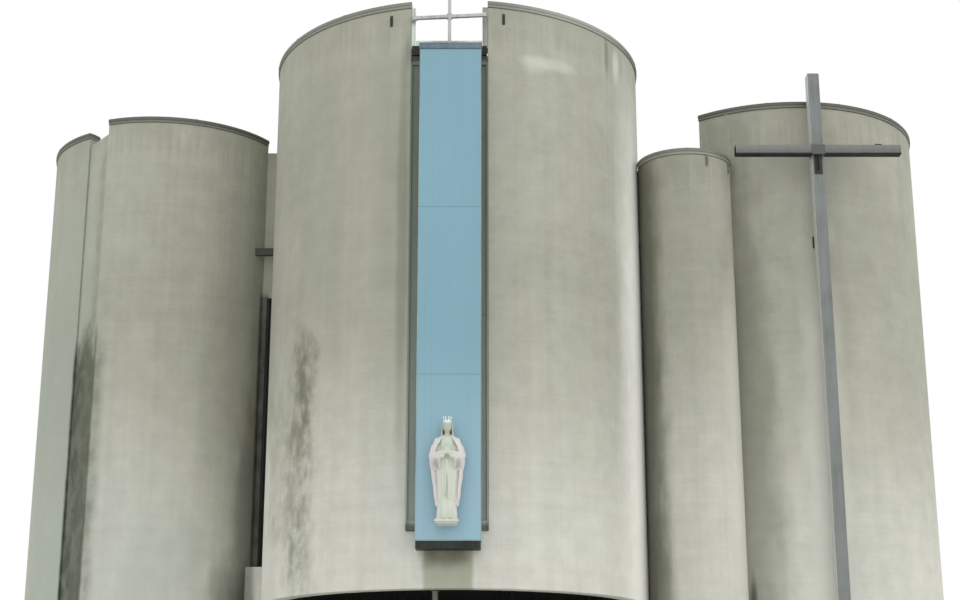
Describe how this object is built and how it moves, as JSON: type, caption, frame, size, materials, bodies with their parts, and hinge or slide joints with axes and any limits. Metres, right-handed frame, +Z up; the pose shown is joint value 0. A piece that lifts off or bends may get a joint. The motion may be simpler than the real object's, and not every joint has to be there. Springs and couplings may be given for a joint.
{
  "type": "modern church building",
  "caption": "Modern church of tall round concrete shells, with a hollow tower over an open porch, a blue panel with a statue, and a steel cross.",
  "frame": {"origin": "on the ground under the floor slab, level with the widest line of the front tower", "axes": "+Z up, -Y towards the front with the porch, +X to the right of someone who faces the front"},
  "size_m": [20.18, 17.07, 16.8],
  "materials": {
    "concrete": "weathered smooth concrete",
    "coping": "dark weathered metal flashing",
    "roofing": "grey roofing felt with fine gravel",
    "floor": "trowelled concrete",
    "panel": "matt light blue paint",
    "frame_metal": "satin dark grey paint",
    "statue_stone": "white stone, slightly stained",
    "steel": "matt grey paint on steel",
    "glass": "dark glazing",
    "door": "dark stained timber"
  },
  "bodies": {
    "root": {"floor_slab": "floor", "nave_roof": "roofing", "tower_wall_left": "concrete", "tower_wall_right": "concrete", "tower_pier_left": "concrete", "tower_pier_right": "concrete", "tower_back_left": "concrete", "tower_back_right": "concrete", "tower_coping": "coping", "tower_roof": "roofing", "porch_ceiling": "concrete", "turret_wall": "concrete", "turret_roof": "roofing", "turret_coping": "coping", "right_front_wall_front": "concrete", "right_front_wall_side": "concrete", "right_back_wall_side": "concrete", "right_back_wall_back": "concrete", "apse_wall_right": "concrete", "apse_wall_left": "concrete", "left_back_wall_back": "concrete", "left_back_wall_side": "concrete", "left_side_wall": "concrete", "left_front_wall": "concrete", "right_front_coping": "coping", "right_back_coping": "coping", "apse_coping": "coping", "left_back_coping": "coping", "left_side_coping": "coping", "left_front_coping": "coping", "right_window": "glass", "back_window_right": "glass", "back_window_left": "glass", "left_back_window": "glass", "notch_window": "glass", "notch_pier": "concrete", "notch_tie": "frame_metal", "entrance_frame": "frame_metal", "entrance_glass": "glass", "door_left": "door", "door_right": "door", "blue_panel": "panel", "panel_channel_left": "frame_metal", "panel_channel_right": "frame_metal", "panel_cap": "frame_metal", "panel_foot": "frame_metal", "small_cross": "steel", "statue_plinth": "statue_stone", "statue": "statue_stone", "steel_cross": "steel"}
  },
  "joints": []
}
